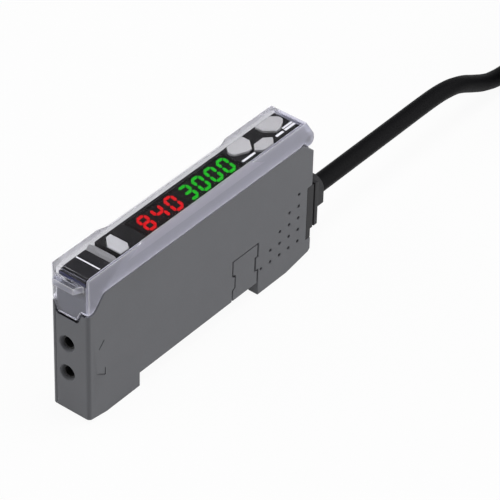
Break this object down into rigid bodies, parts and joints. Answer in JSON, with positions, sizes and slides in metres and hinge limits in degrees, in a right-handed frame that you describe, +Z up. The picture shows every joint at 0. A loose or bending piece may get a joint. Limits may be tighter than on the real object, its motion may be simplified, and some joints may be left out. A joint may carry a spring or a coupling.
{
  "type": "fibre optic sensor amplifier",
  "caption": "Slim rail-mounted fibre optic sensor amplifier with fibre ports in front, a clear hinged cover over a digital display and keys, and a cable at the rear.",
  "frame": {"origin": "on the surface that the feet stand on, under the middle of the amplifier without its cable", "axes": "+X towards the cable, -X the fibre ports, +Z up to the clear cover, -Y the side with the dimples"},
  "size_m": [0.2309, 0.0372, 0.034],
  "materials": {
    "case_grey": "fine matte mould texture",
    "clear": "clear, smooth",
    "black_gloss": "smooth",
    "smoked": "smoked, smooth",
    "red_light": "lit",
    "green_light": "lit",
    "pale_plastic": "satin",
    "black_plastic": "matte",
    "metal": "bright",
    "copper": "drawn wire",
    "board": "solder mask",
    "bush_rubber": "matte",
    "cable_black": "satin",
    "tie": "satin"
  },
  "bodies": {
    "amplifier": {"case_body": "case_grey", "side_cover": "case_grey", "rail_clip": "case_grey", "display_bezel": "black_gloss", "red_display": "black_gloss", "green_display": "black_gloss", "display_window": "smoked", "red_digits": "red_light", "green_digits": "green_light", "indicator_lens": "pale_plastic", "indicator_led": "pale_plastic", "emitter_led": "pale_plastic", "fibre_clamp": "pale_plastic", "board_header": "black_plastic", "board_chips": "black_plastic", "receiver_diode": "black_plastic", "fibre_holder": "black_plastic", "left_switch": "metal", "right_switch": "metal", "set_switch": "metal", "cable_leads": "copper", "display_board": "board", "main_board": "board", "cable_bush": "bush_rubber", "cable": "cable_black", "cable_hank": "cable_black", "cable_tie": "tie"},
    "cover": {"clear_cover": "clear"},
    "lever": {"lock_lever": "case_grey", "label_plate": "black_gloss"},
    "left_button": {"left_key": "pale_plastic", "left_plunger": "black_plastic"},
    "right_button": {"right_key": "pale_plastic", "right_plunger": "black_plastic"},
    "set_button": {"set_key": "pale_plastic", "set_plunger": "black_plastic"}
  },
  "joints": [
    {"name": "cover_hinge", "type": "hinge", "parent": "amplifier", "child": "cover", "pos_m": [0.0299, 0, 0.0291], "axis": [0, 1, 0], "range_deg": [0, 120]},
    {"name": "lever_rock", "type": "hinge", "parent": "amplifier", "child": "lever", "pos_m": [-0.0306, 0, 0.0286], "axis": [0, 1, 0], "range_deg": [0, 6], "stiffness_Nm_per_rad": 0.1},
    {"name": "left_press", "type": "slide", "parent": "amplifier", "child": "left_button", "axis": [0, 0, -1], "range_m": [0, 0.0003], "stiffness_N_per_m": 1000},
    {"name": "right_press", "type": "slide", "parent": "amplifier", "child": "right_button", "axis": [0, 0, -1], "range_m": [0, 0.0003], "stiffness_N_per_m": 1000},
    {"name": "set_press", "type": "slide", "parent": "amplifier", "child": "set_button", "axis": [0, 0, -1], "range_m": [0, 0.0003], "stiffness_N_per_m": 1000}
  ]
}
